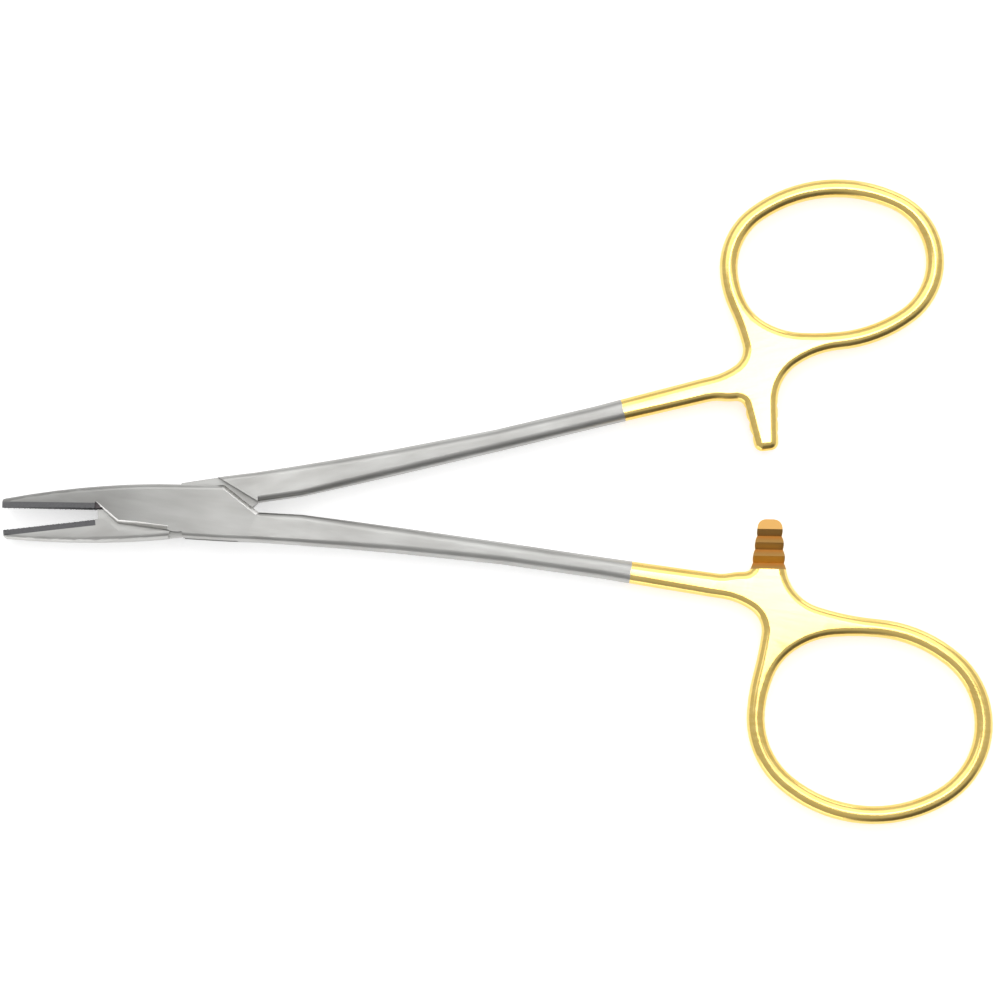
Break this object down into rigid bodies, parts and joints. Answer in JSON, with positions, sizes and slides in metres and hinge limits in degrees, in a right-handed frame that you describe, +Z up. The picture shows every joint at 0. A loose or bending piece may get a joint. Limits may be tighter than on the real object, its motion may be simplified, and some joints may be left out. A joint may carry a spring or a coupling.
{
  "type": "surgical needle holder",
  "caption": "Ring-handled needle holder with a box lock, ratchet, carbide-faced jaws and gold-plated finger rings.",
  "frame": {"origin": "on the pivot axis, at the underside of the box lock", "axes": "+Z up along the pivot axis, +X from the pivot to the finger rings along the line that halves the opening, +Y towards the smaller ring"},
  "size_m": [0.1282, 0.0848, 0.0046],
  "materials": {
    "satin_steel": "satin stainless steel, with gold plating on the rings",
    "carbide": "cross-cut tungsten carbide",
    "pin_steel": "ground flush"
  },
  "bodies": {
    "box_side": {"box_half": "satin_steel", "box_jaw_insert": "carbide", "pivot_pin": "pin_steel"},
    "tongue_side": {"tongue_half": "satin_steel", "tongue_jaw_insert": "carbide"}
  },
  "joints": [
    {"name": "box_lock", "type": "hinge", "parent": "box_side", "child": "tongue_side", "pos_m": [0, 0, 0], "axis": [0, 0, 1], "range_deg": [-7.2, 27.8]}
  ]
}
